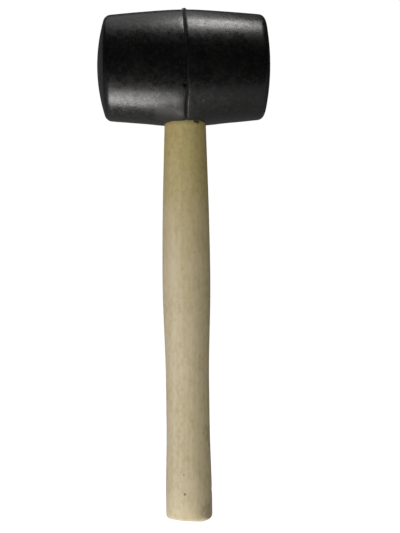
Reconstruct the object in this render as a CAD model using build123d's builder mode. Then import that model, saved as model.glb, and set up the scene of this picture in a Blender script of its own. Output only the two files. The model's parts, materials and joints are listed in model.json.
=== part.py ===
"""Rubber mallet with a turned wooden handle: a moulded rubber head on a wedged through tenon.

Frame: +Z up along the handle from the butt to the head, +X along the head's axis.
The origin is the centre of the butt's flat end. Millimetres.
"""

import os

from build123d import *

os.makedirs("parts", exist_ok=True)

# ---- Driving dimensions ------------------------------------------------------

# Head: a barrel moulded in two halves that meet on the handle's plane
head_axis_z = 315.0  # height of the head's axis above the butt
head_length = 120.0  # over the two domed faces
crown_radius = 40.15  # at the parting line
shoulder_radius = 36.15  # where each flank would meet its face without the rounding
face_dome = 5.1  # height of each striking face's dome
face_rounding = 5.2  # radius between flank and face
parting_slope = 0.047  # each flank already falls away at the parting line

# Parting line: a shallow groove all round, with rolled lips, where the flash was torn off
groove_half_width = 1.4
groove_depth = 0.9
groove_floor_half_width = 0.25
groove_lip_rounding = 1.6

# Small moulding pit beside the parting line, at the front and below the axis
pit_radius = 0.9
pit_depth = 1.5
pit_offset_x = -0.9
pit_drop = 18.0  # below the head's axis

# Eye: the tapered hole through the head, wider at the handle's side
eye_mouth_radius = 14.55
eye_top_radius = 12.55
glue_gap = 0.05  # radial, between the eye's wall and the tenon

# Handle: turned, with a butt swell, a straight waist, a belly and a neck
butt_radius = 16.1
butt_rounding = 3.4
butt_swell_z = 13.0
waist_radius = 15.1
waist_low_z = 66.0
waist_high_z = 96.0
belly_radius = 16.72
belly_z = 168.0
chest_radius = 16.2
chest_z = 213.0
tenon_end_z = 353.0  # level with the eye's rim at the front and back

# Wooden wedge: driven into the tenon's kerf, which runs along the head's axis
wood_wedge_top = 5.0
wood_wedge_tip = 1.4
wood_wedge_length = 38.0
kerf_below_wedge = 3.0

# Steel wedges: two, driven across the wooden wedge
steel_wedge_offset = 6.2
steel_wedge_width = 13.0
steel_wedge_top = 2.4
steel_wedge_tip = 0.5
steel_wedge_length = 20.0
steel_wedge_sunk = 0.4  # below the tenon's end
barb_count = 4
barb_depth = 0.3
barb_height = 1.6

# ---- Derived sizes -----------------------------------------------------------

half_length = head_length / 2
shoulder_x = half_length - face_dome
groove_lip_radius = crown_radius - parting_slope * groove_half_width
groove_floor_radius = crown_radius - groove_depth
dome_radius = (shoulder_radius**2 + face_dome**2) / (2 * face_dome)

eye_mouth_z = head_axis_z - crown_radius
eye_top_z = head_axis_z + crown_radius
eye_taper = (eye_mouth_radius - eye_top_radius) / (eye_top_z - eye_mouth_z)


def eye_radius(z):
    """Radius of the eye's wall at height z, carried on past both ends."""
    return eye_mouth_radius - eye_taper * (z - eye_mouth_z)


head_plane = Plane(origin=(0, 0, head_axis_z), x_dir=(1, 0, 0), z_dir=(0, -1, 0))
head_axis = Axis((0, 0, head_axis_z), (1, 0, 0))
steel_top_z = tenon_end_z - steel_wedge_sunk

# ---- Rubber head -------------------------------------------------------------

with BuildPart() as rubber_head:
    with BuildSketch(head_plane) as barrel_profile:
        with BuildLine():
            Polyline(
                (0, 0),
                (0, groove_floor_radius),
                (groove_floor_half_width, groove_floor_radius),
                (groove_half_width, groove_lip_radius),
            )
            TangentArc(
                (groove_half_width, groove_lip_radius),
                (shoulder_x, shoulder_radius),
                tangent=(1, -parting_slope),
            )
            RadiusArc((shoulder_x, shoulder_radius), (half_length, 0), dome_radius)
            Line((half_length, 0), (0, 0))
        make_face()
        fillet(barrel_profile.vertices().group_by(Axis.X)[-2], face_rounding)
        fillet(barrel_profile.vertices().group_by(Axis.X)[2], groove_lip_rounding)
        mirror(about=Plane.YZ)
    revolve(axis=head_axis)
    # The eye runs right through, past the crown at both ends
    eye_margin = 5.0
    eye_low_z = eye_mouth_z - eye_margin
    eye_high_z = eye_top_z + eye_margin
    with Locations((0, 0, (eye_low_z + eye_high_z) / 2)):
        Cone(
            eye_radius(eye_low_z),
            eye_radius(eye_high_z),
            eye_high_z - eye_low_z,
            mode=Mode.SUBTRACT,
        )
    # The pit goes in square to the barrel's skin
    skin_y = -((crown_radius**2 - pit_drop**2) ** 0.5)
    pit_normal = Vector(0, skin_y, -pit_drop).normalized()
    pit_mouth = Vector(pit_offset_x, skin_y, head_axis_z - pit_drop)
    with BuildSketch(Plane(origin=pit_mouth - pit_normal * pit_depth, z_dir=pit_normal)):
        Circle(pit_radius)
    extrude(amount=2 * pit_depth, mode=Mode.SUBTRACT)

# ---- Steel wedges ------------------------------------------------------------


def wedge_blank(offset_x):
    """Outline of one steel wedge, seen across its thickness, as corners (x, z)."""
    low_z = steel_top_z - steel_wedge_length
    return [
        (offset_x - steel_wedge_top / 2, steel_top_z),
        (offset_x + steel_wedge_top / 2, steel_top_z),
        (offset_x + steel_wedge_tip / 2, low_z),
        (offset_x - steel_wedge_tip / 2, low_z),
    ]


def steel_wedge(offset_x):
    """One steel wedge with a row of barbs cut into both of its broad faces."""
    with BuildPart() as wedge:
        with BuildSketch(Plane.XZ):
            with BuildLine():
                Polyline(*wedge_blank(offset_x), close=True)
            make_face()
        extrude(amount=steel_wedge_width / 2, both=True)
        narrowing = (steel_wedge_top - steel_wedge_tip) / 2 / steel_wedge_length
        for barb in range(barb_count):
            barb_z = steel_top_z - (barb + 1) * steel_wedge_length / (barb_count + 2)
            face_x = steel_wedge_top / 2 - narrowing * (steel_top_z - barb_z)
            for side in (-1, 1):
                with BuildSketch(Plane.XZ):
                    with BuildLine():
                        Polyline(
                            (offset_x + side * (face_x + barb_depth), barb_z),
                            (offset_x + side * (face_x - barb_depth), barb_z),
                            (offset_x + side * (face_x + barb_depth), barb_z - barb_height),
                            close=True,
                        )
                    make_face()
                extrude(amount=steel_wedge_width, both=True, mode=Mode.SUBTRACT)
    return wedge


steel_wedges = {
    "steel_wedge_left": -steel_wedge_offset,
    "steel_wedge_right": steel_wedge_offset,
}

# The slots that the steel wedges cut in the wood, open at the tenon's end
with BuildPart() as steel_slots:
    with BuildSketch(Plane.XZ):
        for offset_x in steel_wedges.values():
            left_top, right_top, right_tip, left_tip = wedge_blank(offset_x)
            with BuildLine():
                Polyline(
                    left_top,
                    (left_top[0], tenon_end_z),
                    (right_top[0], tenon_end_z),
                    right_top,
                    right_tip,
                    left_tip,
                    close=True,
                )
            make_face()
    extrude(amount=steel_wedge_width / 2, both=True)

# ---- Wooden wedge ------------------------------------------------------------

with BuildPart() as wooden_wedge:
    wedge_low_z = tenon_end_z - wood_wedge_length
    with BuildSketch(Plane.YZ):
        with BuildLine():
            Polyline(
                (-wood_wedge_top / 2, tenon_end_z),
                (wood_wedge_top / 2, tenon_end_z),
                (wood_wedge_tip / 2, wedge_low_z),
                (-wood_wedge_tip / 2, wedge_low_z),
                close=True,
            )
        make_face()
    extrude(amount=eye_mouth_radius, both=True)
    # Its two ends are trimmed flush with the tenon
    with Locations((0, 0, (wedge_low_z + tenon_end_z) / 2)):
        Cone(
            eye_radius(wedge_low_z) - glue_gap,
            eye_radius(tenon_end_z) - glue_gap,
            wood_wedge_length,
            mode=Mode.INTERSECT,
        )
    add(steel_slots.part, mode=Mode.SUBTRACT)

# ---- Handle ------------------------------------------------------------------

with BuildPart() as handle:
    neck_z = eye_mouth_z
    neck_radius = eye_mouth_radius - glue_gap
    with BuildSketch(Plane.XZ) as handle_profile:
        with BuildLine():
            Line((0, 0), (butt_radius, 0))
            Line((butt_radius, 0), (butt_radius, butt_swell_z))
            Spline(
                (butt_radius, butt_swell_z),
                (waist_radius, waist_low_z),
                tangents=((0, 1), (0, 1)),
            )
            Line((waist_radius, waist_low_z), (waist_radius, waist_high_z))
            Spline(
                (waist_radius, waist_high_z),
                (belly_radius, belly_z),
                (chest_radius, chest_z),
                (neck_radius, neck_z),
                tangents=((0, 1), (-eye_taper, 1)),
            )
            Polyline(
                (neck_radius, neck_z),
                (eye_radius(tenon_end_z) - glue_gap, tenon_end_z),
                (0, tenon_end_z),
                (0, 0),
            )
        make_face()
        butt_corner = handle_profile.vertices().sort_by_distance((butt_radius, 0))[0]
        fillet(butt_corner, butt_rounding)
    revolve(axis=Axis.Z)
    # The kerf is sawn right across, and the wedge has spread it to its own taper
    kerf_low_z = tenon_end_z - wood_wedge_length - kerf_below_wedge
    with BuildSketch(Plane.YZ):
        with BuildLine():
            Polyline(
                (-wood_wedge_top / 2, tenon_end_z),
                (wood_wedge_top / 2, tenon_end_z),
                (wood_wedge_tip / 2, tenon_end_z - wood_wedge_length),
                (wood_wedge_tip / 2, kerf_low_z),
                (-wood_wedge_tip / 2, kerf_low_z),
                (-wood_wedge_tip / 2, tenon_end_z - wood_wedge_length),
                close=True,
            )
        make_face()
    extrude(amount=eye_mouth_radius + 1, both=True, mode=Mode.SUBTRACT)
    add(steel_slots.part, mode=Mode.SUBTRACT)

# ---- Write one STEP file per piece -------------------------------------------

pieces = {
    "rubber_head": rubber_head,
    "handle": handle,
    "wooden_wedge": wooden_wedge,
}
for name, offset_x in steel_wedges.items():
    pieces[name] = steel_wedge(offset_x)

for name, piece in pieces.items():
    piece.part.label = name
    export_step(piece.part, f"parts/{name}.step")
    print(f"{name}: {piece.part.volume / 1000:.2f} cm3, {len(piece.part.solids())} solid(s)")
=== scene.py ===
"""Rubber mallet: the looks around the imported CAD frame.

Metres. +Z runs up the handle from the butt, +X along the head, and the camera is on the -Y side.
An angle called turn is counted round the head from straight up towards +Y.
An angle called azimuth is counted round the handle from -Y, the front, towards +X.
"""

import json
from math import acos, asin, atan2, cos, hypot, pi, radians, sin, sqrt, tan

import bmesh
import bpy
import numpy as np
from mathutils import Matrix, Vector, noise


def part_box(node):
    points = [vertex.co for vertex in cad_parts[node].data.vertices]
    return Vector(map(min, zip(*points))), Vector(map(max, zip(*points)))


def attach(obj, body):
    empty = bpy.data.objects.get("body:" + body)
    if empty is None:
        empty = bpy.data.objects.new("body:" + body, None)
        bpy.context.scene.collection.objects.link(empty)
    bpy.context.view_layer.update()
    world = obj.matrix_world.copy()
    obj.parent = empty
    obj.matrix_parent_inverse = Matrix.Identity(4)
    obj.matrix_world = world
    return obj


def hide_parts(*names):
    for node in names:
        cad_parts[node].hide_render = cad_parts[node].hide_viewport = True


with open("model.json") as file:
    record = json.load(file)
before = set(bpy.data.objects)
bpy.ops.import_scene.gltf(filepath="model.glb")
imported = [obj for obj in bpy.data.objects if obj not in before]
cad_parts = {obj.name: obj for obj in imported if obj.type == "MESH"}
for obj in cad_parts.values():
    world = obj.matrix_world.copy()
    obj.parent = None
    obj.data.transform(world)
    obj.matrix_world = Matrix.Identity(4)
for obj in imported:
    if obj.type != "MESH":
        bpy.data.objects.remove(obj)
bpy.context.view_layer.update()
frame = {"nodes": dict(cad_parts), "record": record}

MM = 0.001
SAME_PLACE = 1e-6  # metres: corners this near each other are one

# ---- Places read from the frame ----------------------------------------------

mounts = {mount["name"]: Vector(mount["pos_m"]) for mount in frame["record"]["mounts"]}
face_centre = mounts["strike_face_right"]
head_centre = Vector((0, 0, face_centre.z))
half_length = face_centre.x
tenon_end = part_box("handle")[1].z

# ---- Head sizes --------------------------------------------------------------

crown_radius = 40.15 * MM  # at the parting line, if it had no groove
parting_slope = 0.047  # of each flank where it leaves the groove
shoulder_radius = 36.15 * MM
face_dome = 5.1 * MM
face_rounding = 5.2 * MM
shoulder = half_length - face_dome

groove_half_width = 1.4 * MM
eye_mouth_radius = 14.55 * MM
eye_top_radius = 12.55 * MM
eye_lip = 0.9 * MM  # rounding of the rubber where it turns into the eye

# ---- Handle sizes ------------------------------------------------------------

butt_radius = 16.1 * MM
butt_rounding = 3.4 * MM
glue_gap = 0.05 * MM
eye_mouth_z = head_centre.z - crown_radius
eye_taper = (eye_mouth_radius - eye_top_radius) / (2 * crown_radius)
neck_radius = eye_mouth_radius - glue_gap

# Turned outline from the butt swell to the neck: height, radius and slope at each knot
OUTLINE = [
    (13 * MM, butt_radius, 0),
    (66 * MM, 15.1 * MM, 0),
    (96 * MM, 15.1 * MM, 0),
    (168 * MM, 16.72 * MM, 0),
    (213 * MM, 16.2 * MM, -0.0215),
    (eye_mouth_z, neck_radius, -eye_taper),
]


# ---- Small tools -------------------------------------------------------------


def perlin(points, size, seed):
    """Smooth noise from -1 to 1 at each point, with lumps about as large as size."""
    shift = Vector((seed * 7.3, seed * 3.1, seed * 5.7))
    return np.array([noise.noise(Vector(p) / size + shift) for p in points])


def bell(distance, width):
    """1 at distance 0, falling away smoothly over about width."""
    return np.exp(-((distance / width) ** 2))


def add_object(name, data):
    """A new object of the scene, made of this mesh, light or camera."""
    made = bpy.data.objects.new(name, data)
    bpy.context.scene.collection.objects.link(made)
    return made


def to_mesh(name, solid):
    """The edited solid as a new mesh."""
    mesh = bpy.data.meshes.new(name)
    solid.to_mesh(mesh)
    solid.free()
    return mesh


def new_mesh(name, points, faces):
    """A smooth-shaded closed mesh with its faces turned outwards."""
    mesh = bpy.data.meshes.new(name)
    mesh.from_pydata([tuple(p) for p in points], [], faces)
    solid = bmesh.new()
    solid.from_mesh(mesh)
    bmesh.ops.recalc_face_normals(solid, faces=solid.faces)
    solid.to_mesh(mesh)
    solid.free()
    mesh.shade_smooth()
    return add_object(name, mesh)


def band(ring_a, ring_b):
    """The quads between two closed rings with the same number of points."""
    count = len(ring_a)
    following = [(k + 1) % count for k in range(count)]
    return [(ring_a[k], ring_a[n], ring_b[n], ring_b[k]) for k, n in zip(range(count), following)]


# ---- The barrel's outline ----------------------------------------------------


def flank_arc():
    """Centre (x, r) and radius of the arc from the groove's lip to the shoulder."""
    start = np.array([groove_half_width, crown_radius - parting_slope * groove_half_width])
    run = np.array([shoulder, shoulder_radius]) - start
    inward = -np.array([parting_slope, 1]) / hypot(parting_slope, 1)
    radius = run.dot(run) / (2 * run.dot(inward))
    return start + radius * inward, radius


flank_centre, flank_radius = flank_arc()
dome_radius = (shoulder_radius**2 + face_dome**2) / (2 * face_dome)
dome_centre = np.array([half_length - dome_radius, 0])


# Stations nearer the parting line than this are close together and run straight up to the eye
STRAIGHT_COLUMNS = 4.6 * MM


def flank(x):
    """The barrel's radius at x, with no groove. It is straight across the parting line."""
    x = np.abs(x)
    straight = crown_radius - parting_slope * x
    inside = np.maximum(flank_radius**2 - (x - flank_centre[0]) ** 2, 0)
    curved = flank_centre[1] + np.sqrt(inside)
    return np.where(x < groove_half_width, straight, curved)


def rounding_centre():
    """Centre of the arc that rounds the edge between the flank and the domed face."""
    to_flank = flank_radius - face_rounding
    to_dome = dome_radius - face_rounding
    gap = dome_centre - flank_centre
    apart = hypot(*gap)
    along = (to_flank**2 - to_dome**2 + apart**2) / (2 * apart)
    across = sqrt(to_flank**2 - along**2)
    unit = gap / apart
    foot = flank_centre + along * unit
    both = [foot + across * np.array([-unit[1], unit[0]]) * side for side in (-1, 1)]
    return max(both, key=lambda point: point[1])


def half_outline():
    """Stations from beside the parting line to near the face's centre: x, r and the normal."""
    middle = rounding_centre()
    flank_end = middle + (middle - flank_centre) / hypot(*(middle - flank_centre)) * face_rounding
    dome_start = middle + (middle - dome_centre) / hypot(*(middle - dome_centre)) * face_rounding
    fine = np.arange(0.2, 4.4, 0.2) * MM  # across the groove and its edges
    coarse = np.linspace(STRAIGHT_COLUMNS, flank_end[0], 56)
    rows = []
    for x in np.concatenate([fine, coarse]):
        r = float(flank(x))
        out = np.array([x, r]) - flank_centre
        rows.append((x, r, *(out / hypot(*out))))
    first, last = (atan2(p[1] - middle[1], p[0] - middle[0]) for p in (flank_end, dome_start))
    for angle in np.linspace(first, last, 10)[1:]:
        out = np.array([cos(angle), sin(angle)])
        rows.append((*(middle + face_rounding * out), *out))
    for angle in np.linspace(asin(dome_start[1] / dome_radius), 0, 34)[1:-1]:
        out = np.array([cos(angle), sin(angle)])
        rows.append((*(dome_centre + dome_radius * out), *out))
    return rows


# ---- Relief of the moulded rubber --------------------------------------------

GROOVE_HALF_WIDTH = 0.76 * MM  # of its torn core
GROOVE_DEPTH = 0.9 * MM
DIP_DEPTH = 0.16 * MM  # the skin sinks a little towards the groove
DIP_HALF_WIDTH = 2.5 * MM
TORN_HEIGHT = 0.5 * MM  # of the ragged flash left along the groove
TAIL_PLACE = (-0.55 * MM, -21.0)  # x and turn, degrees: flash left standing beside the top eye
TAIL_HEIGHT = 1.3 * MM
TAIL_HALF_WIDTH = 1.6 * MM
TAIL_HALF_LENGTH = 1.2 * MM
DRIFT = [  # turn in degrees, and how far along +X the parting line has strayed there
    (-180, 0),
    (-157, 0.1 * MM),
    (-136, -0.15 * MM),
    (-130, 0.1 * MM),
    (-125, 0.6 * MM),
    (-113, 0.5 * MM),
    (-88, 0.45 * MM),
    (-66, -0.35 * MM),
    (-52, -0.7 * MM),
    (-14, -0.75 * MM),
    (0, -0.4 * MM),
    (60, 0.3 * MM),
    (115, -0.35 * MM),
    (180, 0),
]
PIT = (-1.2 * MM, -116.9)  # x and turn, degrees
PIT_RADIUS = 0.85 * MM
PIT_DEPTH = 1.2 * MM
WELT_WIDTH = 8 * MM  # of the rubber pressed out round the handle
WELT_SHARE = 0.34  # how much it fills of the hollow between the skin and the crown's level
FULLER_SHARE = 0.38  # and how much more of it in front of the handle and behind
FULLER_X = -2 * MM
FULLER_HALF_WIDTH = 7 * MM
DENTS = [  # x, turn in degrees, radius, depth (less than 0 stands proud)
    (11.5 * MM, -133.5, 1.7 * MM, 0.07 * MM),
    (9.9 * MM, -131.0, 0.8 * MM, -0.06 * MM),
    (35.5 * MM, -109.0, 0.7 * MM, -0.08 * MM),
    (30.5 * MM, -50.5, 0.8 * MM, 0.09 * MM),
    (-44.0 * MM, -131.0, 2.4 * MM, 0.06 * MM),
    (-13.0 * MM, -127.0, 1.0 * MM, 0.07 * MM),
    (-37.0 * MM, -139.0, 1.3 * MM, 0.05 * MM),
    (21.0 * MM, 118.0, 1.8 * MM, 0.08 * MM),
    (-28.0 * MM, 74.0, 1.5 * MM, 0.07 * MM),
    (-48.0 * MM, 12.0, 1.2 * MM, 0.09 * MM),
    (46.0 * MM, 31.0, 2.0 * MM, 0.06 * MM),
    (7.5 * MM, 151.0, 1.1 * MM, 0.08 * MM),
]


def turn_gap(turn, degrees):
    """Distance round the crown between each turn and the given one."""
    gap = (turn - radians(degrees) + pi) % (2 * pi) - pi
    return gap * crown_radius


def relief(points):
    """At each point of the plain barrel, how far the skin stands out and how deep in the groove.

    The depth in the groove runs from 0 outside it to almost 1 at its middle.
    """
    x = points[:, 0]
    across = points - np.array(head_centre)
    turn = np.arctan2(across[:, 1], across[:, 2])
    radius = np.hypot(across[:, 1], across[:, 2])
    # 0 near a face's middle and 0.96 at the crown, so it also scales the depths of the groove
    on_flank = 1 - bell(np.maximum(radius - 22 * MM, 0), 10 * MM)

    # Slow sinks and swells from uneven shrinkage, and a shallower, closer ripple on them
    skin = 0.07 * MM * perlin(points, 26 * MM, 1) + 0.022 * MM * perlin(points, 8 * MM, 2)
    skin += 0.006 * MM * perlin(points, 2.6 * MM, 3)

    # The parting line wanders a little and its torn edges differ in width and depth
    ring = np.stack([np.cos(turn), np.sin(turn), 0 * turn], axis=1) * crown_radius
    wander = np.interp(np.degrees(turn), *zip(*DRIFT))
    wander += 0.08 * MM * perlin(ring, 17 * MM, 4) + 0.08 * MM * perlin(ring, 3.2 * MM, 5)
    off = x - wander * bell(x, 5 * MM)
    core = GROOVE_HALF_WIDTH + 0.14 * MM * perlin(ring, 4.6 * MM, 6)
    tail_x, tail_turn = TAIL_PLACE
    tail = bell(turn_gap(turn, tail_turn), TAIL_HALF_LENGTH)
    groove = on_flank * (1 - tail) * bell(off, core)
    skin -= groove * (GROOVE_DEPTH + 0.2 * MM * perlin(ring, 11 * MM, 7))
    skin -= on_flank * DIP_DEPTH * bell(off, DIP_HALF_WIDTH)
    torn = np.maximum(perlin(ring, 2.1 * MM, 8) + 0.15, 0)
    skin += on_flank * TORN_HEIGHT * torn * bell(off + 0.2 * MM, 0.3 * MM)
    skin += TAIL_HEIGHT * tail * bell((x - tail_x) ** 2, TAIL_HALF_WIDTH**2)

    # Rubber pressed out round the handle stands as a low welt, fuller in front and behind
    hollow = np.maximum(crown_radius - np.abs(across[:, 2]), 0)
    outside = np.maximum(np.hypot(x, across[:, 1]) - eye_mouth_radius - eye_lip, 0)
    filled = WELT_SHARE + FULLER_SHARE * bell(x - FULLER_X, FULLER_HALF_WIDTH)
    welt = filled * hollow * bell(outside, WELT_WIDTH)
    skin += np.where(across[:, 2] < 0, welt, 0)

    pit_x, pit_turn = PIT
    skin -= PIT_DEPTH * bell(np.hypot(x - pit_x, turn_gap(turn, pit_turn)), PIT_RADIUS) ** 2
    for dent_x, dent_turn, size, depth in DENTS:
        skin -= depth * bell(np.hypot(x - dent_x, turn_gap(turn, dent_turn)), size)
    return skin, groove


# ---- Rubber head -------------------------------------------------------------

TURNS = 320  # divisions round the barrel
TILT = 0.35  # degrees: the head sits this much askew, right end up
FACE_BULGE = 0.85 * MM  # the left face is this much fuller than drawn and the right one flatter
EYE_BLOCK = 21.5 * MM  # half the side of the patch of skin that closes round the eye
EYE_RINGS = 11
LIP_RINGS = 5
WALL_RINGS = 6
GAP_AZIMUTH = 30.0  # the rubber stands off the wood here, at the front right
GAP_SIZE = 1.0 * MM
GAP_HALF_WIDTH = 1.3 * MM


class BarrelSkin:
    """The barrel's skin: a grid of stations along it and turns round it, closed at both faces.

    A square patch of the grid is left out round each mouth of the eye and then filled with rings
    that run from the patch's edge to the eye's rim.
    """

    def __init__(self):
        half = half_outline()
        self.stations = [(-x, r, -nx, nr) for x, r, nx, nr in reversed(half)]
        self.stations += [(0, crown_radius, 0, 1)] + half
        self.first = next(i for i, s in enumerate(self.stations) if s[0] >= -EYE_BLOCK)
        self.last = len(self.stations) - 1 - self.first
        self.reach = round(asin(EYE_BLOCK / crown_radius) / (2 * pi) * TURNS)
        self.index = {}  # each grid point's number
        self.points, self.normals, self.faces = [], [], []
        self.fill_grid()

    def add(self, point, normal):
        """Adds a point and returns its number."""
        self.points.append(point)
        self.normals.append(normal)
        return len(self.points) - 1

    def in_patch(self, i, j, margin):
        """Whether grid point (i, j) is inside a patch, at least margin steps from its edge."""
        from_top = min(j % TURNS, -j % TURNS)
        from_bottom = abs(j % TURNS - TURNS // 2)
        near = min(from_top, from_bottom) <= self.reach - margin
        return near and self.first + margin <= i <= self.last - margin

    def fill_grid(self):
        """Adds the grid's points and quads, and a pole that closes each face's middle."""
        for i, (x, r, nx, nr) in enumerate(self.stations):
            for j in range(TURNS):
                if self.in_patch(i, j, 1):
                    continue
                turn = 2 * pi * j / TURNS
                place = (x, r * sin(turn), head_centre.z + r * cos(turn))
                self.index[i, j] = self.add(place, (nx, nr * sin(turn), nr * cos(turn)))
        for i in range(len(self.stations) - 1):
            for j in range(TURNS):
                n = (j + 1) % TURNS
                corners = [(i, j), (i + 1, j), (i + 1, n), (i, n)]
                if not all(self.in_patch(*corner, 0) for corner in corners):
                    self.faces.append(tuple(self.index[corner] for corner in corners))
        for i, side in ((0, -1), (len(self.stations) - 1, 1)):
            pole = self.add((side * half_length, 0, head_centre.z), (side, 0, 0))
            rim = [self.index[i, j] for j in range(TURNS)]
            self.faces += [(rim[j], rim[(j + 1) % TURNS], pole) for j in range(TURNS)]

    def patch_edge(self, up):
        """The grid points round a patch, in order. up is 1 for the top patch, -1 for the bottom."""
        middle = 0 if up == 1 else TURNS // 2
        steps = range(-self.reach, self.reach + 1)
        rows = [(middle + up * step) % TURNS for step in steps]
        edge = [(i, rows[0]) for i in range(self.first, self.last)]
        edge += [(self.last, j) for j in rows[:-1]]
        edge += [(i, rows[-1]) for i in range(self.last, self.first, -1)]
        edge += [(self.first, j) for j in rows[:0:-1]]
        return [self.index[key] for key in edge]

    def fill_patch(self, up, eye_radius):
        """Rings from the patch's edge to the eye's rim. Returns the last ring and its plan."""
        ring = self.patch_edge(up)
        start = np.array([self.points[k][:2] for k in ring])
        bearings = [eye_bearing(x, y, start[0], eye_radius + eye_lip) for x, y in start]
        gap = np.array([eye_gap(angle) if up == -1 else 0 for angle in bearings])
        unit = np.array([(cos(angle), sin(angle)) for angle in bearings])
        rim = unit * (eye_radius + eye_lip + gap)[:, None]
        for step in range(1, EYE_RINGS + 1):
            part = step / EYE_RINGS
            part = part * (1.35 - 0.35 * part)  # the rings close up towards the rim
            new_ring = []
            for x, y in start + (rim - start) * part:
                r = float(flank(x))
                z = up * sqrt(r * r - y * y)
                slope = np.sign(x) * parting_slope
                normal = np.array([slope, y / r, z / r]) / hypot(1, slope)
                new_ring.append(self.add((x, y, head_centre.z + z), tuple(normal)))
            self.faces += band(ring, new_ring)
            ring = new_ring
        return ring, unit, eye_radius + gap, up


def add_ring(points, faces, ring, places):
    """Adds a ring at these places, joined to the one before by a band of quads."""
    new_ring = list(range(len(points), len(points) + len(ring)))
    points += places
    faces += band(ring, new_ring)
    return new_ring


def add_lip(points, faces, ring, unit, radius, up):
    """The quarter round where the rubber turns into the eye. Returns its last ring."""
    height = np.array([points[k][2] for k in ring])
    for step in range(1, LIP_RINGS + 1):
        bend = step / LIP_RINGS * pi / 2
        plan = unit * (radius + eye_lip * (1 - sin(bend)))[:, None]
        z = height - up * eye_lip * (1 - cos(bend))
        ring = add_ring(points, faces, ring, [np.array([x, y, h]) for (x, y), h in zip(plan, z)])
    return ring


def make_head():
    """The barrel with its relief, askew on the handle, and the eye's wall inside it."""
    barrel = BarrelSkin()
    mouths = [barrel.fill_patch(1, eye_top_radius), barrel.fill_patch(-1, eye_mouth_radius)]

    points, faces = np.array(barrel.points), barrel.faces
    skin, groove = relief(points)
    points = points + np.array(barrel.normals) * skin[:, None]
    from_axis = np.hypot(points[:, 1], points[:, 2] - head_centre.z)
    fullness = np.clip(1 - (from_axis / shoulder_radius) ** 2, 0, 1)
    points[:, 0] -= np.where(np.abs(points[:, 0]) > shoulder, FACE_BULGE * fullness, 0)
    points[:, 2] += tan(radians(TILT)) * points[:, 0]

    # Past the lips the rings follow the eye's wall and take no relief
    points = list(points)
    top, bottom = [add_lip(points, faces, *mouth) for mouth in mouths]
    ring = top
    for step in range(1, WALL_RINGS):
        part = step / WALL_RINGS
        places = [points[a] * (1 - part) + points[b] * part for a, b in zip(top, bottom)]
        ring = add_ring(points, faces, ring, places)
    faces += band(ring, bottom)

    head = new_mesh("moulded_head", points, faces)
    torn = np.zeros(len(points), dtype=np.float32)
    torn[: len(groove)] = groove
    head.data.attributes.new("torn", "FLOAT", "POINT").data.foreach_set("value", torn)
    return head


def eye_bearing(x, y, corner, radius):
    """Angle round the eye, from +X towards +Y, for a point on the edge of the patch."""
    if abs(abs(x) - abs(corner[0])) < 1e-9:
        angle = pi / 4 * y / abs(corner[1])
        return angle if x > 0 else pi - angle
    limit = acos(STRAIGHT_COLUMNS / radius)
    if abs(x) <= STRAIGHT_COLUMNS:
        angle = acos(abs(x) / radius)
    else:
        part = (abs(x) - STRAIGHT_COLUMNS) / (abs(corner[0]) - STRAIGHT_COLUMNS)
        angle = limit + (pi / 4 - limit) * part
    if x < 0:
        angle = pi - angle
    return angle if y > 0 else -angle


def eye_gap(bearing):
    """Extra radius of the eye's mouth: a gap at one place, and a slightly uneven edge."""
    off = (bearing - radians(GAP_AZIMUTH - 90) + pi) % (2 * pi) - pi
    uneven = 0.06 * MM * (1 + sin(5 * bearing + 1) * sin(3 * bearing))
    return GAP_SIZE * bell(off * eye_mouth_radius, GAP_HALF_WIDTH) + uneven


# ---- Handle ------------------------------------------------------------------

AROUND = 256  # divisions round the handle
BOW = 0.3 * MM  # the handle is warped this far to the left at mid-height
WORN_AZIMUTH = -25.0  # the butt's end is rubbed down on this side
WORN_DEPTH = 1.3 * MM
WORN_START = 6 * MM  # from the handle's axis towards that side
WORN_RUN = 6.5 * MM  # from there to the full depth
WORN_HEIGHT = 7 * MM  # above this the handle is whole
TURNING_PITCH = 1.9 * MM  # of the faint rings left by the lathe
POLE_RADIUS = 0.6 * MM  # of the smallest ring on each end
NICKS = [  # height, azimuth in degrees, size along, size across, depth
    (20.2 * MM, 86, 1.3 * MM, 1.6 * MM, 0.6 * MM),
    (52 * MM, 76, 1.4 * MM, 1.0 * MM, 0.25 * MM),
    (29 * MM, -86, 0.9 * MM, 0.9 * MM, 0.3 * MM),
    (118 * MM, 140, 3.0 * MM, 0.8 * MM, 0.15 * MM),
    (206 * MM, -150, 2.2 * MM, 1.0 * MM, 0.15 * MM),
    (6 * MM, -35, 1.6 * MM, 2.2 * MM, 0.2 * MM),
]


def outline_radius(z):
    """The turned outline's radius at height z, between its first knot and the tenon's end."""
    if z <= OUTLINE[0][0]:
        return butt_radius
    for (z0, r0, s0), (z1, r1, s1) in zip(OUTLINE, OUTLINE[1:]):
        if z <= z1:
            run = z1 - z0
            t = (z - z0) / run
            ends = (1 + 2 * t) * (1 - t) ** 2 * r0 + t * t * (3 - 2 * t) * r1
            return ends + t * (1 - t) ** 2 * run * s0 - t * t * (1 - t) * run * s1
    return neck_radius - eye_taper * (z - eye_mouth_z)


def wood_relief(points):
    """How far the turned and sanded skin stands out at each point of the plain handle."""
    x, y, z = points.T
    azimuth = np.arctan2(x, -y)
    below_head = np.clip((eye_mouth_z - z) / (12 * MM), 0, 1)
    stretched = points * np.array([1, 1, 0.06])
    skin = 0.09 * MM * perlin(points * np.array([1, 1, 0.35]), 21 * MM, 11)
    skin += 0.018 * MM * perlin(stretched, 1.4 * MM, 12)
    skin += 0.035 * MM * perlin(stretched, 5.5 * MM, 13)
    skin += 0.006 * MM * np.sin(z / TURNING_PITCH * 2 * pi + perlin(points, 30 * MM, 14))
    for height, degrees, along, wide, depth in NICKS:
        gap = (azimuth - radians(degrees) + pi) % (2 * pi) - pi
        skin -= depth * bell(z - height, along) * bell(gap * butt_radius, wide)
    return skin * below_head


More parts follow.
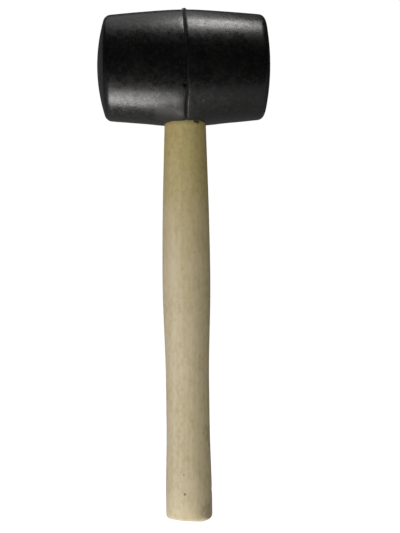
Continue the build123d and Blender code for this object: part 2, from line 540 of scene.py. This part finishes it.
def make_handle():
    """The turned stick, from the butt's rounded end to the tenon, with the wedges' slots in it.

    A row is a radius, a height and the share of the relief that goes outwards there.
    """
    flat_radius = butt_radius - butt_rounding
    hidden_z = eye_mouth_z + 3 * MM  # the rows are wider apart from here up, inside the head
    chamfer = 0.3 * MM
    rows = [(r, 0, 0) for r in np.linspace(POLE_RADIUS, flat_radius - POLE_RADIUS, 14)]
    for angle in np.linspace(0, pi / 2, 9):
        r = flat_radius + butt_rounding * sin(angle)
        rows.append((r, butt_rounding * (1 - cos(angle)), sin(angle)))
    low = np.linspace(butt_rounding, hidden_z, 230)[1:]
    high = np.linspace(hidden_z, tenon_end - chamfer, 16)[1:]
    rows += [(outline_radius(z), z, 1) for z in np.concatenate([low, high])]
    end_radius = outline_radius(tenon_end) - chamfer
    rows += [(r, tenon_end, 0) for r in np.linspace(end_radius, POLE_RADIUS, 12)]

    azimuths = np.arange(AROUND) * 2 * pi / AROUND
    ring = np.stack([np.sin(azimuths), -np.cos(azimuths)], axis=1)
    points = np.concatenate([np.c_[ring * r, np.full(AROUND, z)] for r, z, share in rows])
    share = np.repeat([row[2] for row in rows], AROUND)
    outwards = np.tile(ring, (len(rows), 1))
    points[:, :2] += outwards * (wood_relief(points) * share)[:, None]
    points[:, 0] -= BOW * np.sin(np.clip(points[:, 2] / eye_mouth_z, 0, 1) * pi)
    towards = np.array([sin(radians(WORN_AZIMUTH)), -cos(radians(WORN_AZIMUTH))])
    worn = np.clip((points[:, :2] @ towards - WORN_START) / WORN_RUN, 0, 1)
    points[:, 2] += WORN_DEPTH * worn * np.clip(1 - points[:, 2] / WORN_HEIGHT, 0, 1)

    faces = []
    for k in range(len(rows) - 1):
        here = list(range(k * AROUND, (k + 1) * AROUND))
        faces += band(here, [a + AROUND for a in here])
    points = list(points)
    for first, z in ((0, 0), ((len(rows) - 1) * AROUND, tenon_end)):
        pole = len(points)
        points.append(np.array([0, 0, z]))
        faces += [(first + a, first + (a + 1) % AROUND, pole) for a in range(AROUND)]
    handle = new_mesh("turned_handle", points, faces)
    for node in ("wooden_wedge", "steel_wedge_left", "steel_wedge_right"):
        tool = slot_tool(frame["nodes"][node])
        cut_out(handle, tool)
        bpy.data.objects.remove(tool)
    return handle


def welded(node):
    """A frame node's mesh ready for editing, its corners joined, and the height of its top."""
    solid = bmesh.new()
    solid.from_mesh(node.data)
    bmesh.ops.remove_doubles(solid, verts=solid.verts, dist=SAME_PLACE)
    return solid, max(v.co.z for v in solid.verts)


def slot_tool(node):
    """The wedge carried on past the tenon's end, so that its slot comes out open."""
    solid, top = welded(node)
    for v in solid.verts:
        if v.co.z > top - SAME_PLACE:
            v.co.z = tenon_end + 1 * MM
    return add_object("slot_tool", to_mesh("slot_tool", solid))


def cut_out(piece, tool):
    """Takes the tool's shape out of the piece."""
    cut = piece.modifiers.new("slot", "BOOLEAN")
    cut.object = tool
    cut.operation = "DIFFERENCE"
    cut.solver = "EXACT"
    bpy.context.view_layer.update()
    evaluated = piece.evaluated_get(bpy.context.evaluated_depsgraph_get())
    mesh = bpy.data.meshes.new_from_object(evaluated)
    piece.modifiers.clear()
    piece.data = mesh


# ---- Wedges ------------------------------------------------------------------

BEATEN_DEPTH = 1.5 * MM  # the top is divided finely down to here
BEATEN_EDGE = 0.9 * MM  # longer edges than this are halved there


def make_wedge(name, node, edge, batter, rise):
    """A wedge after it was driven: its edges are broken and its top is beaten."""
    solid, top = welded(frame["nodes"][node])
    bmesh.ops.dissolve_limit(solid, angle_limit=radians(1), verts=solid.verts, edges=solid.edges)
    rim = [e for e in solid.edges if is_above(e, top - SAME_PLACE)]
    bmesh.ops.bevel(solid, geom=rim, offset=edge, segments=3, profile=0.5, affect="EDGES")
    bmesh.ops.triangulate(solid, faces=solid.faces)
    for _ in range(3):
        beaten = [e for e in solid.edges if is_above(e, top - BEATEN_DEPTH)]
        long_edges = [e for e in beaten if e.calc_length() > BEATEN_EDGE]
        bmesh.ops.subdivide_edges(solid, edges=long_edges, cuts=1, use_grid_fill=True)
        bmesh.ops.triangulate(solid, faces=solid.faces)
    for v in solid.verts:
        if v.co.z > top - edge * 1.01:
            lump = noise.noise(v.co / (2.2 * MM)) + 0.5 * noise.noise(v.co / (0.7 * MM))
            v.co.z += rise + batter * lump
    bmesh.ops.recalc_face_normals(solid, faces=solid.faces)
    mesh = to_mesh(name, solid)
    mesh.shade_smooth()
    mesh.set_sharp_from_angle(angle=radians(35))
    return add_object(name, mesh)


def is_above(edge, height):
    """Whether both of the edge's ends are above this height."""
    return all(v.co.z > height for v in edge.verts)


# ---- Material tools ----------------------------------------------------------


class Nodes:
    """A new material's node tree, with short calls for the nodes used here."""

    def __init__(self, name):
        self.material = bpy.data.materials.new(name)
        self.material.use_nodes = True
        self.tree = self.material.node_tree
        self.shader = self.tree.nodes["Principled BSDF"]
        coordinates = self.tree.nodes.new("ShaderNodeTexCoord")
        self.place = coordinates.outputs["Object"]
        self.facing = coordinates.outputs["Normal"]

    def put(self, kind, settings=None, **inputs):
        """Adds a node. An input is a socket to link, or a plain value."""
        node = self.tree.nodes.new(kind)
        for key, value in (settings or {}).items():
            setattr(node, key, value)
        for key, value in inputs.items():
            self.fill(node.inputs[key.replace("_", " ")], value)
        return node

    def fill(self, socket, value):
        """Links the value to the socket if it is a socket itself, or else sets it there."""
        if isinstance(value, bpy.types.NodeSocket):
            self.tree.links.new(value, socket)
        else:
            socket.default_value = value

    def math(self, operation, a, b=0.0, clamp=False):
        """The result of one operation on a and b."""
        node = self.put("ShaderNodeMath", {"operation": operation, "use_clamp": clamp})
        self.fill(node.inputs[0], a)
        self.fill(node.inputs[1], b)
        return node.outputs[0]

    def stretch(self, scale, shift=(0, 0, 0)):
        """The place on the object, scaled along each axis."""
        node = self.put("ShaderNodeMapping", Vector=self.place, Scale=scale, Location=shift)
        return node.outputs[0]

    def noise(self, scale, detail=3.0, roughness=0.5, place=None, distortion=0.0):
        """Soft noise from 0 to 1, with scale lumps to the metre."""
        node = self.put(
            "ShaderNodeTexNoise",
            Vector=place or self.place,
            Scale=scale,
            Detail=detail,
            Roughness=roughness,
            Distortion=distortion,
        )
        return node.outputs[0]

    def ramp(self, value, low, high, out_low=0.0, out_high=1.0):
        """value's range low..high eased to out_low..out_high, and held beyond it."""
        node = self.put("ShaderNodeMapRange", {"interpolation_type": "SMOOTHSTEP"}, Value=value)
        names = ("From Min", "From Max", "To Min", "To Max")
        for name, number in zip(names, (low, high, out_low, out_high)):
            self.fill(node.inputs[name], number)
        return node.outputs[0]

    def mix(self, share, a, b):
        """Colour a with this share of colour b mixed in."""
        node = self.put("ShaderNodeMix", {"data_type": "RGBA"})
        self.fill(node.inputs[0], share)
        self.fill(node.inputs[6], a)
        self.fill(node.inputs[7], b)
        return node.outputs[2]

    def near(self, point, radius):
        """1 within half the radius of a point of the object, easing to 0 at the radius."""
        node = self.put("ShaderNodeVectorMath", {"operation": "DISTANCE"})
        self.fill(node.inputs[0], self.place)
        self.fill(node.inputs[1], point)
        return self.ramp(node.outputs["Value"], radius * 0.5, radius, 1.0, 0.0)

    def bump(self, height, distance, strength=1.0, normal=None):
        """The normal of a skin raised by height times distance, on top of another normal."""
        node = self.put("ShaderNodeBump", Height=height, Distance=distance, Strength=strength)
        if normal is not None:
            self.fill(node.inputs["Normal"], normal)
        return node.outputs[0]


def on_barrel(x, degrees):
    """The point of the barrel's skin at x and at that turn."""
    r = float(flank(x))
    return (x, r * sin(radians(degrees)), head_centre.z + r * cos(radians(degrees)))


def on_handle(z, degrees):
    """The point of the handle's skin at height z and at that azimuth."""
    r = outline_radius(z)
    return (r * sin(radians(degrees)), -r * cos(radians(degrees)), z)


# ---- Materials ---------------------------------------------------------------


SCUFFS = [  # x, turn in degrees, radius of each pale rubbed place
    (11.5 * MM, -133.5, 1.6 * MM),
    (35.5 * MM, -109.0, 0.8 * MM),
]


def rubber_material():
    """Moulded black rubber: dull, with blotches of smoother and duller skin and grey bloom."""
    m = Nodes("black_rubber")
    blotch = m.noise(75, 4, 0.6)
    mottle = m.noise(330, 3, 0.6)
    cloud = m.noise(26, 3, 0.55, distortion=0.6)
    grain = m.noise(900, 3, 0.65)
    bloom = m.ramp(m.math("MULTIPLY", blotch, cloud), 0.24, 0.42)
    base = m.mix(bloom, (0.0045, 0.0045, 0.0046, 1), (0.012, 0.0117, 0.011, 1))
    dust = m.ramp(m.math("ADD", mottle, m.math("MULTIPLY", grain, 0.5)), 0.7, 1.0, 0.0, 0.4)
    base = m.mix(dust, base, (0.026, 0.0254, 0.0242, 1))
    speck = m.ramp(m.noise(1400, 2, 0.5, m.stretch((1, 1, 1), (0.3, 0.1, 0.7))), 0.68, 0.76)
    base = m.mix(m.math("MULTIPLY", speck, 0.35), base, (0.05, 0.048, 0.044, 1))
    for x, degrees, size in SCUFFS:
        spot = m.near(on_barrel(x, degrees), size)
        worn = m.ramp(m.math("MULTIPLY", spot, m.noise(1100, 2, 0.6)), 0.3, 0.6)
        base = m.mix(worn, base, (0.05, 0.05, 0.048, 1))
    along = m.put("ShaderNodeSeparateXYZ", Vector=m.place).outputs["X"]
    face = m.ramp(m.math("ABSOLUTE", along), half_length - face_dome, half_length - 0.5 * face_dome)
    rubbed = m.math("MULTIPLY", face, m.ramp(m.math("ADD", blotch, mottle), 0.9, 1.25))
    base = m.mix(m.math("MULTIPLY", rubbed, 0.7), base, (0.03, 0.029, 0.028, 1))
    m.fill(m.shader.inputs["Base Color"], base)
    uneven = m.math("ADD", m.math("MULTIPLY", blotch, 0.6), mottle)
    rough = m.ramp(uneven, 0.55, 1.05, 0.25, 0.375)
    rough = m.math("ADD", rough, m.ramp(grain, 0.38, 0.64, -0.035, 0.055))
    rough = m.math("ADD", rough, m.math("MULTIPLY", rubbed, 0.15))
    beside_handle = m.near(on_barrel(-6 * MM, -156.0), 19 * MM)
    rough = m.math("ADD", rough, m.math("MULTIPLY", beside_handle, 0.24))
    torn = m.put("ShaderNodeAttribute", {"attribute_name": "torn"}).outputs["Fac"]
    rough = m.math("ADD", rough, m.ramp(torn, 0.25, 0.8, 0.0, 0.6), clamp=True)
    m.fill(m.shader.inputs["Roughness"], rough)
    inside_pit = m.near(on_barrel(*PIT), 2.2 * MM)
    m.fill(m.shader.inputs["Specular IOR Level"], m.ramp(inside_pit, 0.0, 1.0, 0.5, 0.06))
    m.shader.inputs["IOR"].default_value = 1.5
    coarse = m.bump(mottle, 0.05 * MM, 0.8, m.bump(blotch, 0.07 * MM, 0.6))
    m.fill(m.shader.inputs["Normal"], m.bump(grain, 0.035 * MM, 0.9, coarse))
    return m.material


SPECKS = [  # height, azimuth in degrees, radius of each dark speck
    (20.3 * MM, -13.0, 0.9 * MM),
    (33.5 * MM, -15.0, 0.5 * MM),
    (52 * MM, 70, 1.0 * MM),
    (22.3 * MM, 84, 0.8 * MM),
    (18.2 * MM, 84, 0.8 * MM),
    (28.5 * MM, -86, 0.8 * MM),
    (141 * MM, 155, 0.9 * MM),
    (64 * MM, -128, 0.7 * MM),
]
GAP_SHADOWS = [(276.1 * MM, 25.0), (275.9 * MM, 30.0), (275.6 * MM, 35.0)]  # painted shadow: dark spots on the wood in the gap under the rubber's rim
GAP_SHADOW_RADIUS = 1.5 * MM
STAINS = [  # height, azimuth in degrees, radius, strength, colour
    (274.5 * MM, -47, 5 * MM, 0.7, (0.52, 0.27, 0.09, 1)),
    (8 * MM, 48, 9 * MM, 0.6, (0.30, 0.215, 0.135, 1)),
    (61 * MM, 60, 8 * MM, 0.5, (0.30, 0.24, 0.125, 1)),
]


def wood_marks(m, base, mottle):
    """The wood's colour with its specks, the painted shadow in the gap under the head's rim and the
    stains.
    """
    ragged = m.ramp(m.noise(1500, 2, 0.6, m.stretch((1, 1, 0.5))), 0.36, 0.5)
    for z, degrees, size in SPECKS:
        spot = m.math("MULTIPLY", m.near(on_handle(z, degrees), size * 1.25), ragged)
        base = m.mix(spot, base, (0.09, 0.07, 0.045, 1))
    # Painted shadow: dark spots where the rubber stands off the wood, standing in for the shade in
    # that gap
    for z, degrees in GAP_SHADOWS:
        gap_shadow = m.near(on_handle(z, degrees), GAP_SHADOW_RADIUS)
        base = m.mix(gap_shadow, base, (0.012, 0.011, 0.01, 1))
    for z, degrees, size, share, colour in STAINS:
        stain = m.near(on_handle(z, degrees), size)
        stain = m.math("MULTIPLY", stain, m.ramp(mottle, 0.35, 0.6, 0.3 * share, share))
        base = m.mix(stain, base, colour)
    return base


def wood_material():
    """Pale turned hardwood: growth rings, fine fibres, short dark flecks, olive near the neck."""
    m = Nodes("pale_hardwood")
    warped = m.noise(9, 2, 0.5, m.stretch((1, 1, 0.25)))
    pull = m.put("ShaderNodeVectorMath", {"operation": "ADD"})
    m.fill(pull.inputs[0], m.stretch((1, 1, 0.035), (0.043, 0.021, 0)))
    lean = m.put("ShaderNodeCombineXYZ", X=m.math("MULTIPLY", warped, 0.008), Y=0.0, Z=0.0)
    m.fill(pull.inputs[1], lean.outputs[0])
    settings = {"wave_type": "RINGS", "rings_direction": "Z", "wave_profile": "SAW"}
    rings = m.put("ShaderNodeTexWave", settings, Vector=pull.outputs[0], Scale=85.0)
    rings.inputs["Distortion"].default_value = 2.4
    rings.inputs["Detail"].default_value = 2.0
    rings.inputs["Detail Scale"].default_value = 1.2
    ring = rings.outputs["Fac"]
    fibre = m.noise(1500, 4, 0.6, m.stretch((1, 1, 0.03)))
    streak = m.noise(300, 3, 0.55, m.stretch((1, 1, 0.05)))
    mottle = m.noise(360, 3, 0.6, m.stretch((1, 1, 0.6)))
    patch = m.noise(110, 2, 0.5, m.stretch((1, 1, 0.5)))

    height = m.put("ShaderNodeSeparateXYZ", Vector=m.place).outputs["Z"]
    upper = m.ramp(height, 110 * MM, 245 * MM)
    base = m.mix(upper, (0.51, 0.432, 0.293, 1), (0.465, 0.375, 0.22, 1))
    base = m.mix(m.ramp(ring, 0.2, 1.0, 0.0, 0.2), base, (0.36, 0.285, 0.165, 1))
    base = m.mix(m.ramp(streak, 0.35, 0.75, 0.0, 0.3), base, (0.56, 0.49, 0.36, 1))
    base = m.mix(m.ramp(fibre, 0.55, 0.8, 0.0, 0.4), base, (0.33, 0.26, 0.15, 1))
    base = m.mix(m.ramp(mottle, 0.42, 0.68, 0.0, 0.6), base, (0.38, 0.325, 0.17, 1))
    base = m.mix(m.ramp(patch, 0.35, 0.7, 0.0, 0.3), base, (0.60, 0.50, 0.39, 1))
    neck = m.ramp(height, 185 * MM, 262 * MM, 0.0, 0.8)
    olive = m.mix(m.ramp(mottle, 0.4, 0.62), (0.425, 0.348, 0.142, 1), (0.37, 0.295, 0.112, 1))
    base = m.mix(neck, base, olive)
    pores = m.noise(2600, 2, 0.5, m.stretch((1, 1, 0.09), (0.4, 0.2, 0.1)))
    pore = m.ramp(pores, 0.66, 0.74, 0.0, 0.55)
    base = m.mix(pore, base, (0.16, 0.12, 0.07, 1))
    upright = m.put("ShaderNodeSeparateXYZ", Vector=m.facing).outputs["Z"]
    end_grain = m.ramp(m.math("ABSOLUTE", upright), 0.9, 0.99)
    dots = m.ramp(m.noise(3200, 2, 0.5), 0.5, 0.68)
    end = m.mix(m.ramp(ring, 0.1, 1.0), (0.44, 0.345, 0.205, 1), (0.24, 0.17, 0.09, 1))
    end = m.mix(m.math("MULTIPLY", dots, 0.6), end, (0.13, 0.09, 0.05, 1))
    base = m.mix(end_grain, base, end)
    base = wood_marks(m, base, mottle)
    # Painted shade: the wood darkens over the last millimetres below the rubber's rim, where the
    # head shades it
    painted_rim_shade = m.ramp(height, 272.5 * MM, 277.5 * MM, 0.0, 0.5)
    base = m.mix(painted_rim_shade, base, (0.10, 0.08, 0.05, 1))
    m.fill(m.shader.inputs["Base Color"], base)
    m.fill(m.shader.inputs["Roughness"], m.ramp(fibre, 0.3, 0.7, 0.5, 0.68))
    m.shader.inputs["Specular IOR Level"].default_value = 0.35
    lines = m.bump(streak, 0.05 * MM, 0.5)
    lines = m.bump(fibre, 0.03 * MM, 0.7, lines)
    m.fill(m.shader.inputs["Normal"], m.bump(pores, 0.02 * MM, 0.5, lines))
    return m.material


def wedge_wood_material():
    """Darker hardwood seen on its end, crushed by the hammer."""
    m = Nodes("wedge_hardwood")
    lines = m.noise(700, 3, 0.6, m.stretch((0.15, 1, 0.15)))
    blot = m.noise(240, 3, 0.6)
    base = m.mix(m.ramp(lines, 0.35, 0.7), (0.27, 0.17, 0.085, 1), (0.15, 0.09, 0.045, 1))
    base = m.mix(m.ramp(blot, 0.5, 0.75, 0.0, 0.5), base, (0.10, 0.06, 0.03, 1))
    m.fill(m.shader.inputs["Base Color"], base)
    m.fill(m.shader.inputs["Roughness"], m.ramp(blot, 0.3, 0.7, 0.55, 0.75))
    m.fill(m.shader.inputs["Normal"], m.bump(lines, 0.05 * MM, 0.8))
    return m.material


def steel_material():
    """Sheared mild steel, dulled, with rust starting in the low spots."""
    m = Nodes("wedge_steel")
    scratch = m.noise(1800, 3, 0.6, m.stretch((0.1, 1, 1)))
    blot = m.noise(420, 4, 0.65)
    base = m.mix(m.ramp(scratch, 0.3, 0.7), (0.15, 0.148, 0.143, 1), (0.25, 0.246, 0.238, 1))
    rust = m.ramp(blot, 0.54, 0.68)
    base = m.mix(m.math("MULTIPLY", rust, 0.7), base, (0.16, 0.075, 0.035, 1))
    m.fill(m.shader.inputs["Base Color"], base)
    m.fill(m.shader.inputs["Metallic"], m.ramp(rust, 0.0, 1.0, 1.0, 0.35))
    m.fill(m.shader.inputs["Roughness"], m.ramp(blot, 0.35, 0.65, 0.42, 0.65))
    m.fill(m.shader.inputs["Normal"], m.bump(blot, 0.06 * MM, 0.6))
    return m.material


def paper_material():
    """The floor: grey paper that the camera sees washed out to white."""
    m = Nodes("white_paper")
    fibres = m.noise(400, 3, 0.6)
    grey = m.mix(fibres, (0.40, 0.40, 0.40, 1), (0.42, 0.42, 0.42, 1))
    m.fill(m.shader.inputs["Base Color"], grey)
    m.shader.inputs["Roughness"].default_value = 0.9
    m.shader.inputs["Specular IOR Level"].default_value = 0.0
    m.shader.inputs["Emission Color"].default_value = (1, 1, 1, 1)
    seen = m.put("ShaderNodeLightPath").outputs["Is Camera Ray"]
    depth = m.put("ShaderNodeSeparateXYZ", Vector=m.place).outputs["Y"]
    glow = m.ramp(depth, -0.12, 0.12, 0.26, 0.1)
    m.fill(m.shader.inputs["Emission Strength"], m.math("MAXIMUM", seen, glow))
    return m.material


# ---- Stage, lights and camera ------------------------------------------------

FLOOR_FRONT = -0.30  # the sheet ends here, so that the barrel's front mirrors the dark room
FLOOR_BACK = 5.0
FLOOR_SIDE = 5.0


def make_floor():
    """A wide sheet whose edges are lost in the white surroundings."""
    columns = np.linspace(-FLOOR_SIDE, FLOOR_SIDE, 21)
    rows = FLOOR_FRONT + (FLOOR_BACK - FLOOR_FRONT) * np.linspace(0, 1, 16) ** 2
    points = [(x, y, 0) for y in rows for x in columns]
    faces = []
    for j in range(len(rows) - 1):
        for i in range(len(columns) - 1):
            corner = j * len(columns) + i
            faces.append((corner, corner + 1, corner + 1 + len(columns), corner + len(columns)))
    mesh = bpy.data.meshes.new("floor")
    mesh.from_pydata(points, [], faces)
    floor = add_object("floor", mesh)
    floor.data.materials.append(paper_material())


def area_light(name, place, aim, size, radiance, colour=(1, 1, 1), spread=180, twist=0):
    """A rectangular soft light. radiance is the brightness of its face, twist is in degrees."""
    light = bpy.data.lights.new(name, "AREA")
    light.shape = "RECTANGLE"
    light.size, light.size_y = size
    light.energy = radiance * size[0] * size[1] * pi
    light.color = colour
    light.spread = radians(spread)
    lamp = add_object(name, light)
    lamp.location = place
    lamp.rotation_euler = (Vector(aim) - Vector(place)).to_track_quat("-Z", "Y").to_euler()
    lamp.rotation_euler.rotate_axis("Z", radians(twist))
    lamp.visible_camera = False
    return lamp


def soft_box(name, place, aim, size, radiance, **more):
    """Two lights, one inside the other, so that the box fades towards its rim."""
    lamps = []
    for layer, scale, share in (("inner", 0.8, 0.55), ("outer", 1.16, 0.45)):
        part = (size[0] * scale, size[1] * scale)
        lamps.append(area_light(f"{name}_{layer}", place, aim, part, radiance * share, **more))
    return lamps


def only_on(lamp, *pieces):
    """The lamp lights these pieces and nothing else."""
    group = bpy.data.collections.new(lamp.name)
    for piece in pieces:
        group.objects.link(piece)
    lamp.light_linking.receiver_collection = group


def add_lights(head, others):
    """Soft boxes round the mallet, and three lights that reach only its handle and wedges."""
    up = Vector((0, 0, 1))
    above = head_centre + Vector((0.077, -0.045, 0.50))
    soft_box(
        "box_above", above, above - up, (0.142, 0.185), 18.4, colour=(1, 0.985, 0.955), twist=8
    )
    wide = head_centre + Vector((-0.18, 0.18, 0.55))
    area_light("box_above_wide", wide, wide - up, (0.56, 0.58), 0.48)
    below = Vector((-0.121, -0.1, 0.012))
    box_below = soft_box(
        "box_below", below, below + up, (0.155, 0.16), 5.4, colour=(1, 0.975, 0.945), spread=90
    )
    for lamp in box_below:
        only_on(lamp, head)
    behind = Vector((-0.7, 1.3, 0.6))
    area_light("box_behind", behind, head_centre, (1.6, 1.2), 0.07)

    middle = Vector((0, 0, 0.11))
    key = area_light("handle_key", Vector((-0.41, -0.29, 0.085)), middle, (0.4, 0.15), 10.0)
    fill = area_light(
        "handle_fill", Vector((0.25, -0.8, 0.2)), middle, (1.2, 0.6), 1.45, (1, 0.985, 0.8)
    )
    foot = Vector((-0.012, -0.02, 0.3 * MM))
    glow = area_light("butt_glow", foot, foot + up, (0.05, 0.035), 0.9)
    for lamp in (key, fill, glow):
        only_on(lamp, *others)


def add_world():
    """White to the camera, and a dim room to everything else."""
    world = bpy.data.worlds.new("room")
    bpy.context.scene.world = world
    world.use_nodes = True
    tree = world.node_tree
    tree.nodes.clear()
    path = tree.nodes.new("ShaderNodeLightPath")
    room = tree.nodes.new("ShaderNodeBackground")
    room.inputs["Color"].default_value = (0.035, 0.035, 0.035, 1)
    sky = tree.nodes.new("ShaderNodeBackground")
    sky.inputs["Color"].default_value = (1, 1, 1, 1)
    sky.inputs["Strength"].default_value = 1.02
    mix = tree.nodes.new("ShaderNodeMixShader")
    out = tree.nodes.new("ShaderNodeOutputWorld")
    tree.links.new(path.outputs["Is Camera Ray"], mix.inputs[0])
    tree.links.new(room.outputs[0], mix.inputs[1])
    tree.links.new(sky.outputs[0], mix.inputs[2])
    tree.links.new(mix.outputs[0], out.inputs["Surface"])


def add_camera():
    """Level, below the head's height, turned a little so that the left face just shows."""
    distance = 0.70
    right_of_head, below_head = 10.8 * MM, 138.8 * MM
    yaw, roll = radians(2.98), radians(-0.62)
    turned = Matrix.Rotation(roll, 3, "Y") @ Matrix.Rotation(yaw, 3, "Z")
    back = turned.transposed()
    camera = bpy.data.cameras.new("camera")
    camera.sensor_width = 36
    camera.sensor_fit = "AUTO"
    camera.lens = 67.54
    eye = add_object("camera", camera)
    right, forward, up = (back @ Vector(axis) for axis in ((1, 0, 0), (0, 1, 0), (0, 0, 1)))
    facing = Matrix((right, up, -forward)).transposed().to_4x4()
    place = head_centre + back @ Vector((right_of_head, -distance, -below_head))
    eye.matrix_world = Matrix.Translation(place) @ facing
    bpy.context.scene.camera = eye


# ---- Put together ------------------------------------------------------------


def finish_piece(piece, material, slot, *nodes):
    """Gives the piece its material and hides the frame nodes that it takes the place of. slot is
    not used.
    """
    piece.data.materials.clear()
    piece.data.materials.append(material)
    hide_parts(*nodes)
    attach(piece, "root")


add_camera()
add_world()
make_floor()

steel = steel_material()
handle = make_handle()
handle.data.set_sharp_from_angle(angle=radians(38))
head = make_head()
finish_piece(head, rubber_material(), "head_rubber", "rubber_head")
finish_piece(handle, wood_material(), "handle_wood", "handle")
wedge = make_wedge("driven_wedge", "wooden_wedge", 0.25 * MM, 0.1 * MM, 0.15 * MM)
finish_piece(wedge, wedge_wood_material(), "wedge_wood", "wooden_wedge")
others = [handle, wedge]
for side in ("left", "right"):
    node = f"steel_wedge_{side}"
    spike = make_wedge(f"driven_steel_{side}", node, 0.2 * MM, 0.06 * MM, 0.25 * MM)
    finish_piece(spike, steel, "wedge_steel", node)
    others.append(spike)
add_lights(head, others)

scene = bpy.context.scene
scene.view_settings.view_transform = "Standard"
scene.view_settings.look = "None"
